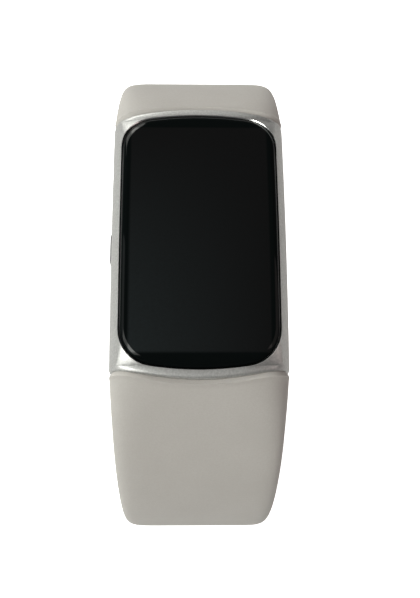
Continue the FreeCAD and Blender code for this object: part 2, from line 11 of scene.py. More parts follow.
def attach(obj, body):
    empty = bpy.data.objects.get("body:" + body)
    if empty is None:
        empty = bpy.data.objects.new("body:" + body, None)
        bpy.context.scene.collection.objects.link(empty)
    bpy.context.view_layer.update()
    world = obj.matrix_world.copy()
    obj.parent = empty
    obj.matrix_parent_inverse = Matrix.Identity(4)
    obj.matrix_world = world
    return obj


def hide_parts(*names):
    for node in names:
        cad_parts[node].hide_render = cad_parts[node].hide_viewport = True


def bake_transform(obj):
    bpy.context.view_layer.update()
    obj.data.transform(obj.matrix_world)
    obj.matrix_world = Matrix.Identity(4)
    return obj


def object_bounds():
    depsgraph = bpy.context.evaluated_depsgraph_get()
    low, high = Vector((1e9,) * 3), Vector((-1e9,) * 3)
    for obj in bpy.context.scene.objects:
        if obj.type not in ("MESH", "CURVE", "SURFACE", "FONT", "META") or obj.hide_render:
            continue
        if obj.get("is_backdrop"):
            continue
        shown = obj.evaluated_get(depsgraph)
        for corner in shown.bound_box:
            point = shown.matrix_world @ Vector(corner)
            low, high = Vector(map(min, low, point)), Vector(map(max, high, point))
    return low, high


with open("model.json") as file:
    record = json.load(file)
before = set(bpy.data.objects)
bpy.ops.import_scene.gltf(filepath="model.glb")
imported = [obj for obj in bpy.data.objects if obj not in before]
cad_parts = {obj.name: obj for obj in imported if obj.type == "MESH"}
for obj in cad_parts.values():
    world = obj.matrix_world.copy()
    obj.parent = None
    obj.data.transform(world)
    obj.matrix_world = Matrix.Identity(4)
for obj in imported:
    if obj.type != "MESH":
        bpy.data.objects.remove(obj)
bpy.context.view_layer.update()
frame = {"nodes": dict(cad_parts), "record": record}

# Looks of a fitness tracker band. Shapes are worked out in millimetres, in the frame of the packed
# model, and turned into metres when a mesh is made. X runs across the band, Y along the case towards
# the strap with the holes, and Z out of the display.

MM = 0.001

# ---------------------------------------------------------------- sizes, in millimetres
arch_radius = 88.0             # long curve of the display side
case_half_width = 11.4
case_half_length = 18.7
case_end_sag = 1.5
case_corner = 0.7
case_bottom = 1.02
cavity_half_width = 9.7        # room inside the case
cavity_half_length = 14.9
cavity_corner = 2.6
cavity_top = 8.45
window_half_width = 9.0        # opening under the glass
window_half_length = 15.5
window_end_sag = 1.6
window_corner = 3.2
seat_floor = 9.95
seat_slip = 0.1                # gap round the glass
turn_length = 2.5              # half the length over which the case side turns into its end
shoulder_fall = 3.0            # the case ends drop this far from their middle to their corners
shoulder_power = 6

glass_half_width = 10.0
glass_half_length = 17.4
glass_end_sag = 1.25
glass_corner = 4.4
glass_top = 11.2
glass_thickness = 1.1
glass_roll = 0.6               # height of the rolled edge
display_half_width = 8.9
display_half_length = 15.5
display_middle_y = -0.1

electrode_z = 5.3
electrode_half_height = 1.5
electrode_half_length = 11.75
electrode_depth = 0.9
button_y = -0.4
button_half_length = 2.5
button_half_height = 0.95
button_proud = 0.3
button_thickness = 0.75
button_dome_width = 0.7
button_dome_height = 0.3
button_bow = 0.2               # the face falls this much from its middle to its ends
button_slip = 0.05
stem_radius = 0.45
stem_end = -9.25
button_seat_floor = -10.5      # bottom of the cap's recess, and inside of the case wall behind it
wall_inside = -9.2
stem_seat_radius = 0.95        # hole in the case wall for the stem and its seal

strap_root_width = 22.8
hole_strap_width = 18.6        # widths reached at the end of the taper
clasp_strap_width = 20.4
strap_taper_length = 40.0
strap_root_thickness = 5.3
strap_thickness = 2.4
strap_thin_length = 14.0       # over this length from the case the strap thins down
strap_root_length = 16.0       # over this length its section changes to a flatter one
hinge_distance = 9.0           # from the case end to the strap's bending line
rest_bend_length = 10.0        # length over which the clasp strap stands open at rest
seam_z = 8.45                  # height of the straps' outer surface where they meet the case
seam_gap = 0.12
seam_edge = 0.5                # rounded edge of the strap at the seam
squared_length = 15.0          # the strap's stations follow the curved seam up to here
tip_length = 6.0
tail_reach = 7.0               # how far each strap end passes the middle of the loop
hole_loop_half_width = 33.0    # half axes and centre of the straps' elliptical paths
hole_loop_centre_z = -18.0
clasp_loop_half_width = 29.1

hole_radius = 1.55
hole_spacing = 5.5
hole_count = 8
first_hole_reach = 3.0         # the first hole lies this far past the middle of the loop
peg_radius = 1.3
peg_length = 2.2
clasp_plate_thickness = 0.6
clasp_plate_sink = 0.3         # how deep the plate lies in the silicone
clasp_plate_half_width = 6.5
clasp_plate_half_length = 5.3
clasp_plate_corner = 2.3
clasp_plate_middle = 7.9       # measured back from the strap's tip
overlap_gap = 0.5              # between the closed straps, at the bottom of the loop

clasp_rest_angle = math.radians(6.0)

pocket_end = 16.0              # sockets in the case ends for the straps' tongues
pocket_floor = 3.0
pocket_top = 6.0
notch_half_width = 2.35        # notch in the socket's floor that the latch drops into
notch_start = 16.4
notch_length = 1.0
notch_depth = 0.6
core_slip = 0.06               # room round the stiff core in each strap's end
core_start = 18.4
core_end = 21.3
core_half_width = 7.4
core_floor = 4.1
core_top = 5.1
tongue_half_width = 7.0
tongue_top = 5.85
tongue_room_end = 19.36
latch_half_width = 2.6
latch_end = 20.9
latch_slip = 0.1

camera_lens = 72.695
camera_shift = (0.0, -0.1003)
camera_location = (-2.5, -58.627, 153.103)
camera_forward = (0.024999, 0.375455, -0.926503)
camera_roll = -0.453           # degrees


# ---------------------------------------------------------------- small helpers
def clamp(value, low=0.0, high=1.0):
    return max(low, min(high, value))


def smooth(t):
    t = clamp(t)
    return t * t * (3 - 2 * t)


def mix(a, b, t):
    return a + (b - a) * t


def arch_drop(y):
    """How far the display side has fallen below its highest line at this place along the case."""
    return y * y / (2 * arch_radius)


def arc_through(first, middle, last, steps):
    """Points on the circular arc through three plane points, ends included."""
    (ax, ay), (bx, by), (cx, cy) = first, middle, last
    d = 2 * (ax * (by - cy) + bx * (cy - ay) + cx * (ay - by))
    a2, b2, c2 = ax * ax + ay * ay, bx * bx + by * by, cx * cx + cy * cy
    ux = (a2 * (by - cy) + b2 * (cy - ay) + c2 * (ay - by)) / d
    uy = (a2 * (cx - bx) + b2 * (ax - cx) + c2 * (bx - ax)) / d
    radius = math.hypot(ax - ux, ay - uy)
    start = math.atan2(ay - uy, ax - ux)
    turn = math.atan2(cy - uy, cx - ux) - start
    turn = (turn + math.pi) % (2 * math.pi) - math.pi
    angles = [start + turn * i / steps for i in range(steps + 1)]
    return [(ux + radius * math.cos(angle), uy + radius * math.sin(angle)) for angle in angles]


def mesh_object(name, points, faces):
    mesh = bpy.data.meshes.new(name)
    mesh.from_pydata([Vector(p) * MM for p in points], [], faces)
    mesh.update()
    obj = bpy.data.objects.new(name, mesh)
    bpy.context.scene.collection.objects.link(obj)
    return obj


def skin(name, rings, closed=False):
    """Surface over a stack of rings with equal point counts, capped at its ends unless closed on itself."""
    n = len(rings[0])
    points = [p for ring in rings for p in ring]
    faces = []
    for i in range(len(rings) - (0 if closed else 1)):
        a = i * n
        b = ((i + 1) % len(rings)) * n
        for j in range(n):
            k = (j + 1) % n
            faces.append((a + j, a + k, b + k, b + j))
    if not closed:
        faces.append(tuple(reversed(range(n))))
        faces.append(tuple(range(len(points) - n, len(points))))
    obj = mesh_object(name, points, faces)
    face_outwards(obj)
    return obj


def face_outwards(obj):
    """Turn every face to the outside of the closed mesh."""
    bm = bmesh.new()
    bm.from_mesh(obj.data)
    bmesh.ops.recalc_face_normals(bm, faces=bm.faces)
    bm.to_mesh(obj.data)
    bm.free()


def rounded_rectangle(half_a, half_b, radius, steps=6):
    points = []
    for corner, (sa, sb) in enumerate(((1, 1), (-1, 1), (-1, -1), (1, -1))):
        for i in range(steps + 1):
            angle = math.pi / 2 * (corner + i / steps)
            points.append((sa * (half_a - radius) + radius * math.cos(angle),
                           sb * (half_b - radius) + radius * math.sin(angle)))
    return points


def bar_along_x(outline, x0, x1, y, z):
    return skin("cutter", [[(x, y + a, z + b) for a, b in outline] for x in (x0, x1)])


def end_block(side, half_width, near, far, low, high):
    """Box in the middle of one end of the case: near and far are measured from the case's middle."""
    y0, y1 = sorted((side * near, side * far))
    outline = ((-half_width, y0), (half_width, y0), (half_width, y1), (-half_width, y1))
    return skin("cutter", [[(x, y, z) for x, y in outline] for z in (low, high)])


def lathe(profile, foot, direction, steps=48):
    """Solid of revolution: profile holds (radius, height) pairs, height runs along direction from foot."""
    turn = Vector(direction).to_track_quat("Z", "Y")
    rings = []
    for radius, height in profile:
        ring = []
        for i in range(steps):
            a = 2 * math.pi * i / steps
            ring.append(Vector(foot) + turn @ Vector((radius * math.cos(a), radius * math.sin(a), height)))
        rings.append(ring)
    return skin("cutter", rings)


def combine(obj, tool, operation):
    """Cut the tool away from obj, or join it, and remove the tool."""
    modifier = obj.modifiers.new("combine", "BOOLEAN")
    modifier.operation = operation
    modifier.solver = "EXACT"
    modifier.object = tool
    graph = bpy.context.evaluated_depsgraph_get()
    result = bpy.data.meshes.new_from_object(obj.evaluated_get(graph))
    obj.modifiers.remove(modifier)
    obj.data = result
    bpy.data.objects.remove(tool)
    if not result.polygons:
        raise RuntimeError(f"nothing is left of {obj.name}")


def smooth_shade(obj, degrees):
    """Smooth shading, with sharp edges kept where faces meet at more than the given angle."""
    for polygon in obj.data.polygons:
        polygon.use_smooth = True
    obj.data.set_sharp_from_angle(angle=math.radians(degrees))


def finish_piece(obj, material, crease, body, node):
    """Give a new piece its finish and its body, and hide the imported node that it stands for."""
    obj.data.materials.clear()
    obj.data.materials.append(material)
    smooth_shade(obj, crease)
    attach(obj, body)
    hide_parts(node)


# ---------------------------------------------------------------- plan outlines
def end_share(x, y, half_x, corner_y):
    """How far a point of the outline belongs to an end, 0 to 1. It changes over a few millimetres."""
    past_corner = (y - corner_y) + (half_x - x)
    return smooth((past_corner + turn_length) / (2 * turn_length))


def plan_outline(half_x, half_y, sag, corner):
    """Straight sides and arched ends. Gives x, y and how far each point belongs to an end, 0 to 1."""
    side_steps, corner_steps, end_steps = 20, 8, 20
    end_radius = (half_x ** 2 + sag ** 2) / (2 * sag)
    arc_y = half_y - end_radius
    corner_x = half_x - corner
    corner_y = arc_y + math.sqrt((end_radius - corner) ** 2 - corner_x ** 2)
    top = math.atan2(corner_y - arc_y, corner_x)
    quarter = [(half_x, corner_y * math.sin(math.pi / 2 * i / side_steps)) for i in range(side_steps)]
    for i in range(corner_steps):
        a = top * i / corner_steps
        quarter.append((corner_x + corner * math.cos(a), corner_y + corner * math.sin(a)))
    for i in range(end_steps + 1):
        a = mix(top, math.pi / 2, math.sin(math.pi / 2 * i / end_steps))
        quarter.append((end_radius * math.cos(a), arc_y + end_radius * math.sin(a)))
    quarter = [(x, y, end_share(x, y, half_x, corner_y)) for x, y in quarter]
    upper = quarter + [(-x, y, share) for x, y, share in reversed(quarter[:-1])]
    return upper + [(-x, -y, share) for x, y, share in upper[1:-1]]


def shoulder_drop(x):
    """How far a case end has fallen towards its corners, as a share of the fall at the very side."""
    return 1 - math.sqrt(max(0.0, 1 - (abs(x) / case_half_width) ** shoulder_power))


def plan_ring(half_x, half_y, sag, corner, z_side, z_end, arched, shoulder=0.0):
    """Ring of points on the case, whose height differs between sides and ends."""
    ring = []
    for x, y, share in plan_outline(half_x, half_y, sag, corner):
        z = mix(z_side, z_end - shoulder * shoulder_drop(x), share)
        ring.append((x, y, z - arched * arch_drop(y)))
    return ring


# ---------------------------------------------------------------- case
def case_rings():
    """Outside of the case, from its back up to the rim round the glass."""
    belly = arc_through((9.5, case_bottom), (10.75, 2.6), (case_half_width, 5.0), 8)
    side = belly + arc_through((case_half_width, 6.0), (11.15, 8.35), (10.32, 10.2), 10)
    wall_top, rim_top = 10.4, 10.9
    rounding = arc_through((case_half_length, wall_top + 0.15), (case_half_length - 0.1, rim_top - 0.1),
                           (case_half_length - 0.35, rim_top), 5)
    wall_steps = len(side) - len(rounding)
    wall = [(case_half_length, mix(case_bottom, wall_top, i / wall_steps)) for i in range(wall_steps)]
    shoulder_start = 5.5
    rings = []
    for (x, z_side), (y, z_end) in zip(side, wall + rounding):
        corner = max(0.25, case_corner - (case_half_width - x) * 0.3 - (case_half_length - y) * 0.4)
        shoulder = shoulder_fall * clamp((z_end - shoulder_start) / (rim_top - shoulder_start))
        arched = clamp((z_side - 3) / 5)
        rings.append(plan_ring(x, y, case_end_sag, corner, z_side, z_end, arched, shoulder))
    return rings


def seat_rings():
    """From the rim over the bright chamfer into the seat of the glass, and down through the case.

    The first four rings are the chamfer. Its height differs between the sides and the ends.
    """
    seat_x = glass_half_width + seat_slip
    seat_y = glass_half_length + seat_slip
    corner = glass_corner + seat_slip
    window = (window_half_width, window_half_length, window_end_sag, window_corner)
    cavity = (cavity_half_width, cavity_half_length, 0.1, cavity_corner)
    return [
        plan_ring(seat_x + 0.16, seat_y + 0.2, glass_end_sag, corner + 0.15, 10.29, 10.93, 1),
        plan_ring(seat_x + 0.13, seat_y + 0.16, glass_end_sag, corner + 0.12, 10.29, 10.92, 1),
        plan_ring(seat_x, seat_y, glass_end_sag, corner, 10.16, 10.74, 1),
        plan_ring(seat_x, seat_y, glass_end_sag, corner, 10.1, 10.68, 1),
        plan_ring(seat_x, seat_y, glass_end_sag, corner, seat_floor, seat_floor, 1),
        plan_ring(*window, seat_floor, seat_floor, 1),
        plan_ring(*window, cavity_top + 0.05, cavity_top + 0.05, 0),
        plan_ring(*cavity, cavity_top, cavity_top, 0),
        plan_ring(*cavity, case_bottom, case_bottom, 0),
    ]


def cut_case_end(case, side):
    """Shallow pocket for a side panel, and a socket with a notch for a strap's tongue and latch."""
    outline = rounded_rectangle(electrode_half_length, electrode_half_height, 0.6)
    x0, x1 = sorted((side * (case_half_width - electrode_depth), side * (case_half_width + 1)))
    combine(case, bar_along_x(outline, x0, x1, 0, electrode_z), "DIFFERENCE")
    socket = end_block(side, tongue_half_width + core_slip, pocket_end, case_half_length + 0.8,
                       pocket_floor, pocket_top)
    combine(case, socket, "DIFFERENCE")
    notch = end_block(side, notch_half_width, notch_start, notch_start + notch_length,
                      pocket_floor - notch_depth, pocket_floor + 0.1)
    combine(case, notch, "DIFFERENCE")


def cut_button_seat(case):
    """Oval recess for the button's cap, and the hole behind it for the stem and its seal."""
    outside = -case_half_width - 0.4
    cap = rounded_rectangle(button_half_length + button_slip, button_half_height + button_slip, 0.99)
    combine(case, bar_along_x(cap, outside, button_seat_floor, button_y, electrode_z), "DIFFERENCE")
    stem = rounded_rectangle(stem_seat_radius, stem_seat_radius, stem_seat_radius - 0.01)
    stem_hole = bar_along_x(stem, button_seat_floor - 0.3, wall_inside, button_y, electrode_z)
    combine(case, stem_hole, "DIFFERENCE")


def make_case():
    outer = case_rings()
    rings = outer + seat_rings()
    case = skin("case_body", rings, closed=True)
    ring_size = len(rings[0])
    chamfer_faces = range((len(outer) + 1) * ring_size, (len(outer) + 3) * ring_size)
    case.data.materials.append(satin_aluminium())
    case.data.materials.append(polished_aluminium())
    for index in chamfer_faces:
        case.data.polygons[index].material_index = 1
    for side in (-1, 1):
        cut_case_end(case, side)
    cut_button_seat(case)
    smooth_shade(case, 35)
    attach(case, "tracker_case")
    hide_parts("case_shell")


# ---------------------------------------------------------------- side button
def button_levels():
    """How far the cap's outline has shrunk at each x, from its foot to the middle of its face."""
    face = -case_half_width - button_proud
    steps = 8
    levels = [(0.0, face + button_thickness)]
    for i in range(steps + 1):
        a = math.pi / 2 * i / steps
        shrink = button_dome_width * (1 - math.cos(a))
        levels.append((shrink, face + button_dome_height * (1 - math.sin(a))))
    levels.append((button_dome_width + 0.15, face))
    return levels


def make_button():
    """Pill-shaped cap with a domed face, and the stem that reaches through the case wall."""
    levels = button_levels()
    foot = levels[0][1]
    rings = []
    for shrink, x in levels:
        bow = button_bow * clamp((foot - x) / (button_thickness - button_dome_height))
        half_z = button_half_height - shrink
        outline = rounded_rectangle(button_half_length - shrink, half_z, half_z * 0.98, 10)
        rings.append([(x + bow * (dy / button_half_length) ** 2, button_y + dy, electrode_z + dz)
                      for dy, dz in outline])
    cap = skin("side_button_dome", rings)
    stem_start = foot - 0.1
    stem = [(stem_radius, 0.0), (stem_radius, stem_end - stem_start)]
    combine(cap, lathe(stem, (stem_start, button_y, electrode_z), (1, 0, 0)), "UNION")
    finish_piece(cap, dark_button(), 40, "side_button", "side_button_cap")


# ---------------------------------------------------------------- cover glass
def make_glass():
    """Arched sheet whose upper edge rolls over to the side."""
    underside = glass_top - glass_thickness
    roll_width = glass_roll * 1.35
    fill_steps, roll_steps = 14, 12
    rings = []

    def add_ring(share, shrink, z):
        """Outline moved inwards by shrink and then scaled by share."""
        rings.append(plan_ring((glass_half_width - shrink) * share, (glass_half_length - shrink) * share,
                               glass_end_sag * share, (glass_corner - shrink * 0.9) * share, z, z, 1))

    for i in range(fill_steps):
        add_ring((i + 0.15) / fill_steps, 0, underside)
    add_ring(1, 0, underside)
    for i in range(roll_steps + 1):
        a = math.pi / 2 * i / roll_steps
        add_ring(1, roll_width * (1 - math.cos(a)), glass_top - glass_roll * (1 - math.sin(a)))
    for i in range(1, fill_steps):
        add_ring(1 - (i - 0.15) / fill_steps, roll_width, glass_top)
    glass = skin("cover_glass_shell", rings)
    finish_piece(glass, black_glass(), 40, "tracker_case", "cover_glass")


# ---------------------------------------------------------------- straps
def seam_lift(half_width):
    """Share of an elliptical path's half height at which it passes the case end."""
    return math.sqrt(1 - (case_half_length / half_width) ** 2)


class StrapPath:
    """Elliptical path of a strap's outer surface, measured by distance from the case end."""

    def __init__(self, side, half_width, centre_z, free_width, opened=0.0):
        self.side = side
        self.free_width = free_width
        self.half_width = half_width
        self.half_height = (seam_z - centre_z) / seam_lift(half_width)
        self.centre_z = centre_z
        self.measure()
        self.opened = 0.0
        self.pivot = self.outer(hinge_distance)[0]
        self.opened = opened

    def measure(self):
        """Distance along the path at small steps of the ellipse's angle, from just before the case end."""
        steps, steps_before = 600, 20
        start = math.acos(case_half_length / self.half_width)
        self.step = (start + math.pi / 2 + math.asin(tail_reach / self.half_width)) / steps
        self.angles = [start + self.step * (steps_before - i) for i in range(steps + steps_before + 1)]
        self.distances = [0.0]
        for a in self.angles[:-1]:
            middle = a - self.step / 2
            speed = math.hypot(self.half_width * math.sin(middle), self.half_height * math.cos(middle))
            self.distances.append(self.distances[-1] + speed * self.step)
        before = self.distances[steps_before]
        self.distances = [d - before for d in self.distances]
        self.length = self.distances[-1]

    def outer(self, distance):
        """Point on the outer surface's middle line, and the outward direction there."""
        i = clamp(bisect.bisect(self.distances, distance) - 1, 0, len(self.distances) - 2)
        share = (distance - self.distances[i]) / (self.distances[i + 1] - self.distances[i])
        a = self.angles[i] - self.step * share
        along, up = math.cos(a), math.sin(a)
        point = Vector((0, self.side * self.half_width * along, self.centre_z + self.half_height * up))
        out = Vector((0, self.side * self.half_height * along, self.half_width * up)).normalized()
        if self.opened:
            past_hinge = smooth((distance - hinge_distance) / rest_bend_length + 0.5)
            turn = Quaternion((self.side, 0, 0), self.opened * past_hinge)
            point = self.pivot + turn @ (point - self.pivot)
            out = turn @ out
        return point, out

    def place(self, x, distance, height):
        """Point at x across the strap and at a height above its inner surface."""
        point, out = self.outer(distance)
        return point + out * (height - thickness_at(distance)) + Vector((x, 0, 0))


def strap_paths():
    """Both paths. The clasp strap's loop passes just under the other strap at the bottom."""
    hole_path = StrapPath(1, hole_loop_half_width, hole_loop_centre_z, hole_strap_width)
    bottom = hole_loop_centre_z - hole_path.half_height - strap_thickness - overlap_gap
    lift = seam_lift(clasp_loop_half_width)
    centre_z = (seam_z + bottom * lift) / (1 + lift)
    clasp_path = StrapPath(-1, clasp_loop_half_width, centre_z, clasp_strap_width, clasp_rest_angle)
    return hole_path, clasp_path


def thickness_at(distance):
    """Thickest at the case, thinning along a curve to the free strap's thickness."""
    left = clamp(1 - distance / strap_thin_length)
    return strap_thickness + (strap_root_thickness - strap_thickness) * left ** 2


def half_width_at(path, distance):
    """Straight taper, then an even width up to a rounded tip."""
    gone = clamp(distance / strap_taper_length)
    half = mix(strap_root_width, path.free_width, gone) / 2
    past = clamp((distance - path.length + tip_length) / tip_length)
    tip_power = 2.4
    return half * max(1 - past ** tip_power, 0.0001) ** (1 / tip_power)


def strap_section(path, distance):
    """Cross-section as (x, height above the inner surface), with a flat inside and a crowned outside."""
    thick = thickness_at(distance)
    half = half_width_at(path, distance)
    root = smooth(1 - distance / strap_root_length)
    inner_round = min(mix(0.7, 0.9, root), half * 0.5)
    widest = mix(0.42, 0.36, root) * thick
    inner_steps, corner_steps = 10, 6
    points = [(mix(-1, 1, i / inner_steps) * (half - inner_round), 0.0) for i in range(inner_steps)]
    corner = []
    for i in range(corner_steps):
        a = math.pi / 2 * i / corner_steps
        corner.append((half - inner_round + inner_round * math.sin(a), widest * (1 - math.cos(a))))
    crown = crown_half(half, widest, thick - widest, mix(12.0, shoulder_power, root))
    points += corner + crown
    points.append((0.0, thick))
    points += [(-x, h) for x, h in reversed(crown)]
    points += [(-x, h) for x, h in reversed(corner[1:])]
    return thinned_at_tip(path, distance, points, thick / 2)


def crown_half(half, base, rise, power):
    """Half of the outside, from its widest point almost to the middle, as a flattened ellipse."""
    shoulder_steps, middle_steps = 16, 12
    shoulder_end = math.radians(12)
    points = []
    for i in range(shoulder_steps + 1):
        a = mix(math.pi / 2, shoulder_end, i / shoulder_steps)
        points.append((half * math.sin(a) ** (2 / power), base + rise * math.cos(a)))
    last_x = points[-1][0]
    for i in range(1, middle_steps):
        x = last_x * (1 - i / middle_steps)
        points.append((x, base + rise * math.sqrt(1 - (x / half) ** power)))
    return points


def thinned_at_tip(path, distance, points, middle):
    """The section, squeezed towards its middle height over the last of the strap's tip."""
    rounded_length = 0.9
    past = clamp((distance - path.length + rounded_length) / rounded_length)
    squeeze = math.sqrt(max(1 - past ** 2, 0.02))
    return [(x, middle + (h - middle) * squeeze) for x, h in points]


def inset_section(section, amount):
    """The section shrunk inwards along its own outline's normals."""
    if not amount:
        return section
    n = len(section)
    result = []
    for i, (x, h) in enumerate(section):
        (x0, h0), (x1, h1) = section[i - 1], section[(i + 1) % n]
        run = math.hypot(x1 - x0, h1 - h0)
        result.append((x - amount * (h1 - h0) / run, h + amount * (x1 - x0) / run))
    return result


def seam_y(x):
    """How far out the strap starts at this place across the case end, just clear of the metal."""
    end_radius = (case_half_width ** 2 + case_end_sag ** 2) / (2 * case_end_sag) + seam_gap
    return case_half_length + seam_gap - end_radius + math.sqrt(end_radius ** 2 - x ** 2)


def seam_starts(path):
    """Distance along the strap at which each point of the section meets the case end."""
    count = len(strap_section(path, 0))
    starts = []
    for j in range(count):
        low, high = -6.0, 9.0
        for _ in range(26):
            middle = (low + high) / 2
            x, h = strap_section(path, middle)[j]
            if path.side * path.place(x, middle, h).y < seam_y(x):
                low = middle
            else:
                high = middle
        starts.append((low + high) / 2)
    return starts


@functools.lru_cache(maxsize=None)
def inset_strap_section(path, distance, inset):
    return inset_section(strap_section(path, distance), inset)


def strap_rings(path):
    """Rings from the seam, which follows the curved case end, to the tip, where they lie square."""
    starts = seam_starts(path)
    rings = []

    def add_ring(station, inset=0.0, push=0.0):
        ring = []
        left = clamp(1 - station / squared_length) ** 2
        for j, start in enumerate(starts):
            distance = station + start * left
            x, h = inset_strap_section(path, distance, inset)[j]
            point = path.place(x, distance, h)
            point.y += path.side * push * left
            ring.append(point)
        rings.append(ring)

    edge_steps = 4
    for i in range(edge_steps + 1):
        a = math.pi / 2 * i / edge_steps
        add_ring(0.0, seam_edge * (1 - math.sin(a)), seam_edge * (1 - math.cos(a)))
    station = seam_edge + 0.4
    while station < path.length - tip_length:
        add_ring(station)
        station += 0.5
    tip_steps = 26
    for i in range(tip_steps + 1):
        add_ring(path.length - tip_length * (1 - math.sin(math.pi / 2 * i / tip_steps)))
    return rings


def open_root(strap, side):
    """Room under the strap end for its stiff core, the tongue and the release button."""
    floor = core_floor - 0.05
    core = (core_half_width + core_slip, core_start, core_end + core_slip, floor, core_top + core_slip)
    tongue = (tongue_half_width + core_slip, pocket_end, tongue_room_end, floor, tongue_top + core_slip)
    latch = (latch_half_width + latch_slip, pocket_end, latch_end + latch_slip, -2.0, core_floor)
    for sizes in (core, tongue, latch):
        combine(strap, end_block(side, *sizes), "DIFFERENCE")


def hole_distances(path):
    return [path.length - tail_reach + first_hole_reach - i * hole_spacing for i in range(hole_count)]


def hole_profile():
    """A strap hole with a flared mouth on both sides of the strap, as (radius, height) pairs."""
    flare = 0.3
    lip = 0.09
    lower = [(hole_radius + flare + 1.0, -1.0), (hole_radius + flare, 0.0), (hole_radius + lip, lip),
             (hole_radius, flare)]
    return lower + [(radius, strap_thickness - height) for radius, height in reversed(lower)]


def dress_strap(strap, path, nodes):
    """Silicone finish and smooth shading for a strap, and hide the imported nodes that it stands for."""
    strap.data.materials.clear()
    strap.data.materials.append(silicone())
    smooth_shade(strap, 38)
    out = path.outer(hinge_distance)[1]
    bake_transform(strap)
    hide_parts(*nodes)


def make_hole_strap(path):
    strap = skin("hole_strap_skin", strap_rings(path))
    for distance in hole_distances(path):
        point, out = path.outer(distance)
        combine(strap, lathe(hole_profile(), point - out * strap_thickness, out), "DIFFERENCE")
    open_root(strap, path.side)
    dress_strap(strap, path, ("hole_strap", "hole_strap_root"))


def plate_rings(path, grow, low, high):
    """Rounded plate on the strap's outer surface, with its top edge eased."""
    middle = path.length - clasp_plate_middle
    half_across = clasp_plate_half_width + grow
    half_along = clasp_plate_half_length + grow
    levels = ((0.6, low), (0.1, low), (0.0, low + 0.1), (0.0, high - 0.22), (0.04, high - 0.1),
              (0.13, high - 0.03), (0.3, high), (0.8, high))
    rings = []
    for inset, height in levels:
        corner = clasp_plate_corner + grow - inset
        outline = rounded_rectangle(half_across - inset, half_along - inset, corner)
        rings.append([path.place(a, middle + b, height) for a, b in outline])
    return rings


def peg_place(path, hole_path, distance):
    """Foot and direction of the peg for one hole, turned with the clasp strap from closed to rest."""
    point, out = hole_path.outer(distance)
    turn = Quaternion((path.side, 0, 0), path.opened)
    return path.pivot + turn @ (point - path.pivot), turn @ out


def make_clasp_strap(path, hole_path):
    strap = skin("clasp_strap_skin", strap_rings(path))
    low = strap_thickness - clasp_plate_sink
    combine(strap, skin("cutter", plate_rings(path, 0.06, low - 0.05, low + 2)), "DIFFERENCE")
    plate = skin("clasp_plate_body", plate_rings(path, 0.0, low, low + clasp_plate_thickness))
    reach = overlap_gap + strap_thickness
    bore = [(peg_radius + 0.04, -1.0), (peg_radius + 0.04, reach + 1)]
    peg = [(peg_radius - 0.35, -peg_length), (peg_radius - 0.1, -peg_length + 0.1),
           (peg_radius, -peg_length + 0.35), (peg_radius, reach - 0.1)]
    for distance in hole_distances(hole_path)[:2]:
        point, out = peg_place(path, hole_path, distance)
        combine(strap, lathe(bore, point, out), "DIFFERENCE")
        combine(plate, lathe(peg, point, out), "UNION")
    open_root(strap, path.side)
    dress_strap(strap, path, ("clasp_strap", "clasp_strap_root"))
    finish_piece(plate, satin_aluminium(), 35, "clasp_strap", "clasp_plate")


# ---------------------------------------------------------------- materials
class Paint:
    """A node material under construction, with short calls for the nodes used here."""

    def __init__(self, name):
        self.material = bpy.data.materials.new(name)
        self.material.use_nodes = True
        self.tree = self.material.node_tree
        self.tree.nodes.clear()
        self.shader = self.node("ShaderNodeBsdfPrincipled")
        output = self.node("ShaderNodeOutputMaterial")
        self.link(self.shader.outputs[0], output.inputs[0])
        self.place = self.node("ShaderNodeTexCoord").outputs["Object"]

    def node(self, kind, **settings):
        made = self.tree.nodes.new(kind)
        for key, value in settings.items():
            setattr(made, key, value)
        return made

    def link(self, source, target):
        self.tree.links.new(source, target)

    def set(self, **values):
        for key, value in values.items():
            self.shader.inputs[key.replace("_", " ")].default_value = value

    def noise(self, size_mm, detail=2.0):
        """Noise whose blotches are about this many millimetres across."""
        made = self.node("ShaderNodeTexNoise")
        made.inputs["Scale"].default_value = 1 / (size_mm * MM)
        made.inputs["Detail"].default_value = detail
        self.link(self.place, made.inputs["Vector"])
        return made.outputs["Fac"]

    def fit(self, value, low, high):
        """Map 0.3 to 0.7, where most of a noise lies, to the range low to high."""
        made = self.node("ShaderNodeMapRange")
        made.inputs["From Min"].default_value = 0.3
        made.inputs["From Max"].default_value = 0.7
        made.inputs["To Min"].default_value = low
        made.inputs["To Max"].default_value = high
        self.link(value, made.inputs["Value"])
        return made.outputs["Result"]

    def ramp(self, value, start_mm, end_mm):
        """0 where the coordinate is start, 1 where it is end, and even steps between."""
        made = self.node("ShaderNodeMapRange")
        made.inputs["From Min"].default_value = start_mm * MM
        made.inputs["From Max"].default_value = end_mm * MM
        self.link(value, made.inputs["Value"])
        return made.outputs["Result"]

    def blend(self, share, first, second):
        """Colour between two colours, or two colour outputs."""
        made = self.node("ShaderNodeMix", data_type="RGBA")
        self.link(share, made.inputs[0])
        for socket, colour in ((made.inputs[6], first), (made.inputs[7], second)):
            if isinstance(colour, tuple):
                socket.default_value = (*colour, 1)
            else:
                self.link(colour, socket)
        return made.outputs[2]

    def bump(self, height, depth_mm):
        made = self.node("ShaderNodeBump")
        made.inputs["Distance"].default_value = depth_mm * MM
        self.link(height, made.inputs["Height"])
        self.link(made.outputs["Normal"], self.shader.inputs["Normal"])

    def colour(self, source):
        self.link(source, self.shader.inputs["Base Color"])

    def roughness(self, source):
        self.link(source, self.shader.inputs["Roughness"])


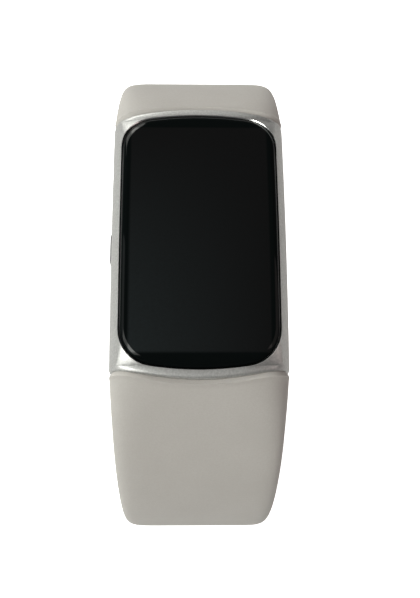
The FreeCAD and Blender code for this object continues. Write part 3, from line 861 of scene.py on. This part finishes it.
def varied(name, dark, light, roughness, metallic=0.0, blotch=2.0, grain=0.15, depth=0.004, **extra):
    """A finish with slight mottling of colour and roughness and a fine surface grain."""
    paint = Paint(name)
    paint.set(Metallic=metallic, **extra)
    paint.colour(paint.blend(paint.fit(paint.noise(blotch, 3), 0, 1), dark, light))
    paint.roughness(paint.fit(paint.noise(blotch * 0.6), roughness * 0.9, roughness * 1.1))
    paint.bump(paint.noise(grain), depth)
    return paint.material


# A material is built the first time it is asked for, and the same one is handed out afterwards.
once = functools.lru_cache(maxsize=None)


@once
def satin_aluminium():
    paint = Paint("satin_aluminium")
    paint.set(Metallic=1.0)
    paint.colour(paint.blend(paint.fit(paint.noise(0.25, 3), 0, 1), (0.52, 0.52, 0.51), (0.65, 0.65, 0.64)))
    paint.roughness(paint.fit(paint.noise(0.2), 0.45, 0.54))
    paint.bump(paint.noise(0.16, 3), 0.006)
    return paint.material


@once
def polished_aluminium():
    return varied("polished_aluminium", (0.80, 0.80, 0.79), (0.88, 0.88, 0.87), 0.16,
                  metallic=1.0, depth=0.001)


@once
def silicone():
    paint = Paint("silicone")
    cloudy = paint.blend(paint.fit(paint.noise(6.0, 2), 0, 1), (0.528, 0.507, 0.478), (0.553, 0.532, 0.503))
    specks = paint.blend(paint.fit(paint.noise(0.22, 2), 0, 0.5), cloudy, (0.485, 0.455, 0.428))
    paint.colour(specks)
    paint.roughness(paint.fit(paint.noise(0.5), 0.52, 0.62))
    paint.set(Specular_IOR_Level=0.35, Sheen_Weight=0.08, Sheen_Roughness=0.5)
    paint.bump(paint.noise(0.14, 3), 0.004)
    return paint.material


@once
def black_glass():
    """Gloss glass over a dark panel, whose picture area is a little less black than its border. Towards the
    left and the bottom the picture area is painted lighter, as a painted reflection of the light.
    """
    paint = Paint("black_glass")
    parts = paint.node("ShaderNodeSeparateXYZ")
    paint.link(paint.place, parts.inputs[0])
    inside_x = panel_mask(paint, parts.outputs["X"], 0.0, display_half_width)
    inside_y = panel_mask(paint, parts.outputs["Y"], display_middle_y, display_half_length)
    inside = paint.node("ShaderNodeMath", operation="MULTIPLY")
    paint.link(inside_x, inside.inputs[0])
    paint.link(inside_y, inside.inputs[1])
    # Painted reflection: the picture area's colour grows lighter towards the left and the bottom, where the
    # key light would show in the glass.
    towards_left = paint.ramp(parts.outputs["X"], 10.0, -10.0)
    towards_bottom = paint.ramp(parts.outputs["Y"], 16.0, -14.0)
    painted_reflection = paint.node("ShaderNodeMath", operation="MULTIPLY")
    paint.link(towards_left, painted_reflection.inputs[0])
    paint.link(towards_bottom, painted_reflection.inputs[1])
    panel_with_painted_reflection = paint.blend(painted_reflection.outputs[0], (0.0032, 0.0032, 0.0033), (0.0140, 0.0180, 0.0190))
    panel = paint.blend(paint.fit(paint.noise(0.35, 3), 0, 0.25), panel_with_painted_reflection, (0.0056, 0.0060, 0.0061))
    paint.colour(paint.blend(inside.outputs[0], (0.0022, 0.0034, 0.0034), panel))
    paint.roughness(paint.fit(paint.noise(7.0, 4), 0.03, 0.07))
    paint.link(paint.fit(inside.outputs[0], 0.1, 0.32), paint.shader.inputs["Specular IOR Level"])
    return paint.material


def panel_mask(paint, coordinate, centre_mm, half_mm):
    """1 inside the band centre plus or minus half, fading to 0 over a few tenths of a millimetre."""
    away = paint.node("ShaderNodeMath", operation="SUBTRACT")
    paint.link(coordinate, away.inputs[0])
    away.inputs[1].default_value = centre_mm * MM
    size = paint.node("ShaderNodeMath", operation="ABSOLUTE")
    paint.link(away.outputs[0], size.inputs[0])
    return paint.ramp(size.outputs[0], half_mm + 0.2, half_mm - 0.2)


@once
def steel():
    return varied("satin_steel", (0.42, 0.42, 0.42), (0.52, 0.52, 0.52), 0.3,
                  metallic=1.0, grain=0.3, depth=0.002)


# The button's near-black colour is painted shade: it stands in for the shade on the cap's sides, over metal
# that is lighter.
@once
def dark_button():
    return varied("dark_button", (0.10, 0.10, 0.105), (0.14, 0.14, 0.145), 0.32, metallic=1.0, depth=0.002)


@once
def gold():
    return varied("gold_contact", (0.75, 0.55, 0.25), (0.85, 0.66, 0.34), 0.25, metallic=1.0, depth=0.001)


@once
def rubber():
    return varied("seal_rubber", (0.018, 0.018, 0.018), (0.03, 0.03, 0.03), 0.6)


@once
def board():
    return varied("circuit_board", (0.01, 0.08, 0.035), (0.02, 0.13, 0.06), 0.4, blotch=1.0)


@once
def flex():
    return varied("flex_circuit", (0.38, 0.15, 0.03), (0.5, 0.22, 0.06), 0.35, blotch=1.5)


@once
def copper():
    return varied("copper", (0.62, 0.3, 0.16), (0.75, 0.4, 0.22), 0.3, metallic=1.0)


@once
def foil():
    return varied("battery_foil", (0.5, 0.5, 0.52), (0.62, 0.62, 0.64), 0.38,
                  metallic=0.9, grain=0.5, depth=0.02)


@once
def dark_panel():
    return varied("display_panel_black", (0.006, 0.007, 0.008), (0.012, 0.014, 0.016), 0.12)


@once
def clear_gel():
    return varied("clear_adhesive", (0.7, 0.7, 0.7), (0.8, 0.8, 0.8), 0.15, Transmission_Weight=0.9)


@once
def chip():
    return varied("chip_black", (0.015, 0.015, 0.016), (0.025, 0.025, 0.026), 0.5, blotch=0.6)


@once
def lens():
    return varied("led_lens", (0.45, 0.68, 0.42), (0.6, 0.8, 0.55), 0.15)


@once
def tinted_window():
    return varied("sensor_window", (0.008, 0.008, 0.010), (0.014, 0.014, 0.016), 0.07,
                  grain=1.0, depth=0.0005)


@once
def strap_fitting():
    return varied("strap_fitting", (0.30, 0.29, 0.27), (0.36, 0.35, 0.325), 0.45, blotch=3.0)


@once
def black_plastic():
    return varied("black_plastic", (0.016, 0.016, 0.017), (0.026, 0.026, 0.028), 0.42,
                  blotch=3.0, depth=0.006)


slot_materials = {
    "case_metal": satin_aluminium, "cover_glass": black_glass, "silicone": silicone,
    "clasp_metal": satin_aluminium, "steel": steel, "spring_steel": steel, "button_finish": dark_button,
    "gold_contact": gold, "seal_rubber": rubber, "circuit_board": board, "flex_circuit": flex,
    "copper": copper, "battery_foil": foil, "display": dark_panel, "clear_adhesive": clear_gel,
    "chip_black": chip, "led_lens": lens, "sensor_window": tinted_window, "strap_fitting": strap_fitting,
    "black_plastic": black_plastic,
}


def dress_cad_nodes():
    """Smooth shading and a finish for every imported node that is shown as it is."""
    slots = {row["node"]: row["material_slot"] for row in frame["record"]["subparts"]}
    for name, obj in frame["nodes"].items():
        if obj.hide_render:
            continue
        obj.data.materials.clear()
        obj.data.materials.append(slot_materials[slots[name]]())
        smooth_shade(obj, 30)


# ---------------------------------------------------------------- studio
def softbox(name, location, side, power, colour):
    """Square light, side millimetres wide, that points at the middle of the object."""
    light = bpy.data.lights.new(name, "AREA")
    light.size = side * MM
    light.energy = power
    light.color = colour
    obj = bpy.data.objects.new(name, light)
    bpy.context.scene.collection.objects.link(obj)
    obj.location = Vector(location) * MM
    obj.rotation_euler = (-obj.location).to_track_quat("-Z", "Y").to_euler()


def make_floor(height):
    """Plain pale floor. It looks white from anywhere but throws little light up at the object."""
    half = 2500.0
    corners = [(-half, -half, height), (half, -half, height), (half, half, height), (-half, half, height)]
    floor = mesh_object("floor", corners, [(0, 1, 2, 3)])
    paint = Paint("pale_floor")
    paint.colour(paint.blend(paint.fit(paint.noise(40.0), 0, 1), (0.85, 0.85, 0.85), (0.87, 0.87, 0.87)))
    paint.set(Roughness=0.9, Specular_IOR_Level=0.1, Emission_Color=(1, 1, 1, 1))
    seen_directly = paint.node("ShaderNodeLightPath").outputs["Is Camera Ray"]
    paint.link(seen_directly, paint.shader.inputs["Emission Strength"])
    floor.data.materials.append(paint.material)
    floor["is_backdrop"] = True


def make_lights():
    """Four soft lights in a dim surround that is white only where the camera sees it."""
    world = bpy.data.worlds.new("studio")
    bpy.context.scene.world = world
    world.use_nodes = True
    tree = world.node_tree
    tree.nodes["Background"].inputs[0].default_value = (1, 1, 1, 1)
    brightness = tree.nodes.new("ShaderNodeMapRange")
    brightness.inputs["To Min"].default_value = 0.10
    brightness.inputs["To Max"].default_value = 1.0
    seen_directly = tree.nodes.new("ShaderNodeLightPath").outputs["Is Camera Ray"]
    tree.links.new(seen_directly, brightness.inputs["Value"])
    tree.links.new(brightness.outputs["Result"], tree.nodes["Background"].inputs[1])
    softbox("key", (-420, -260, 420), 420, 3.1, (0.99, 1.0, 0.95))
    softbox("high", (-480, 40, 460), 420, 0.75, (0.96, 1.0, 0.98))
    softbox("back", (-260, 560, 230), 350, 2.0, (1.0, 1.0, 0.95))
    softbox("fill", (460, -60, 330), 460, 0.60, (1.0, 0.85, 0.81))


def make_camera():
    """Camera above the lower strap, looking down on the display."""
    camera = bpy.data.objects.new("camera", bpy.data.cameras.new("camera"))
    bpy.context.scene.collection.objects.link(camera)
    camera.data.lens = camera_lens
    camera.data.shift_x, camera.data.shift_y = camera_shift
    camera.data.clip_start, camera.data.clip_end = 0.01, 20.0
    camera.location = Vector(camera_location) * MM
    forward = Vector(camera_forward).normalized()
    level = forward.cross(Vector((0, 1, 0))).normalized()
    right = Quaternion(forward, math.radians(-camera_roll)) @ level
    up = right.cross(forward)
    camera.rotation_mode = "QUATERNION"
    camera.rotation_quaternion = Matrix((right, up, -forward)).transposed().to_quaternion()
    bpy.context.scene.camera = camera


# ---------------------------------------------------------------- build
hole_path, clasp_path = strap_paths()
make_case()
make_button()
make_glass()
make_hole_strap(hole_path)
make_clasp_strap(clasp_path, hole_path)
dress_cad_nodes()
make_floor(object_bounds()[0].z / MM - 0.05)
make_lights()
make_camera()

bpy.context.scene.view_settings.view_transform = "Standard"
